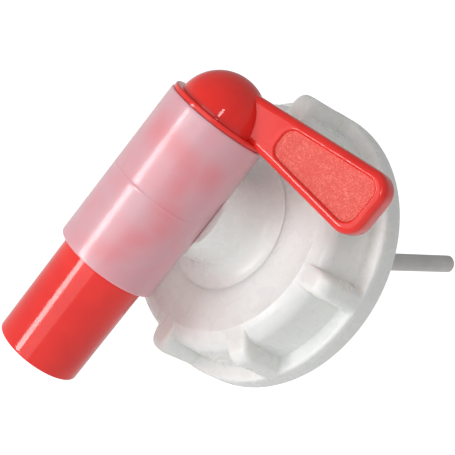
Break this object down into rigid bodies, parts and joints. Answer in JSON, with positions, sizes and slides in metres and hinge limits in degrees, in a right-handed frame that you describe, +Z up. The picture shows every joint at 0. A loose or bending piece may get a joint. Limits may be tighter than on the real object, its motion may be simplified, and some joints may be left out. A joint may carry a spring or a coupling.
{
  "type": "canister dispensing tap",
  "caption": "Quarter-turn dispensing tap on a white lugged canister screw cap, with a translucent barrel, red plug with side lever and down-spout, and a long grey vent tube.",
  "frame": {"origin": "centre of the cap's sealing plane, on the axis of the screw cap", "axes": "+Y along the cap's axis into the canister, +Z up along the barrel away from the spout, +X to the side where the lever lies at rest"},
  "size_m": [0.0823, 0.125, 0.0903],
  "materials": {
    "cap_plastic": "natural milky white polyethylene, satin",
    "gasket_foam": "soft white foamed sealing ring",
    "body_plastic": "natural translucent polyethylene, smooth, with the red plug showing through",
    "seal_rubber": "moulded seal, satin",
    "tube_plastic": "grey, slightly translucent extruded tube",
    "red_plastic": "glossy red, with a finely grained panel on each side of the lever"
  },
  "bodies": {
    "cap": {"screw_cap": "cap_plastic", "cap_gasket": "gasket_foam"},
    "tap": {"tap_body": "body_plastic", "neck_o_ring": "seal_rubber", "vent_tube": "tube_plastic"},
    "plug": {"valve_plug": "red_plastic"}
  },
  "joints": [
    {"name": "cap_swivel", "type": "hinge", "parent": "cap", "child": "tap", "pos_m": [0, 0, 0], "axis": [0, 1, 0], "continuous": true},
    {"name": "plug_turn", "type": "hinge", "parent": "tap", "child": "plug", "pos_m": [0, -0.029, 0], "axis": [0, 0, 1], "range_deg": [-230, 10]}
  ]
}
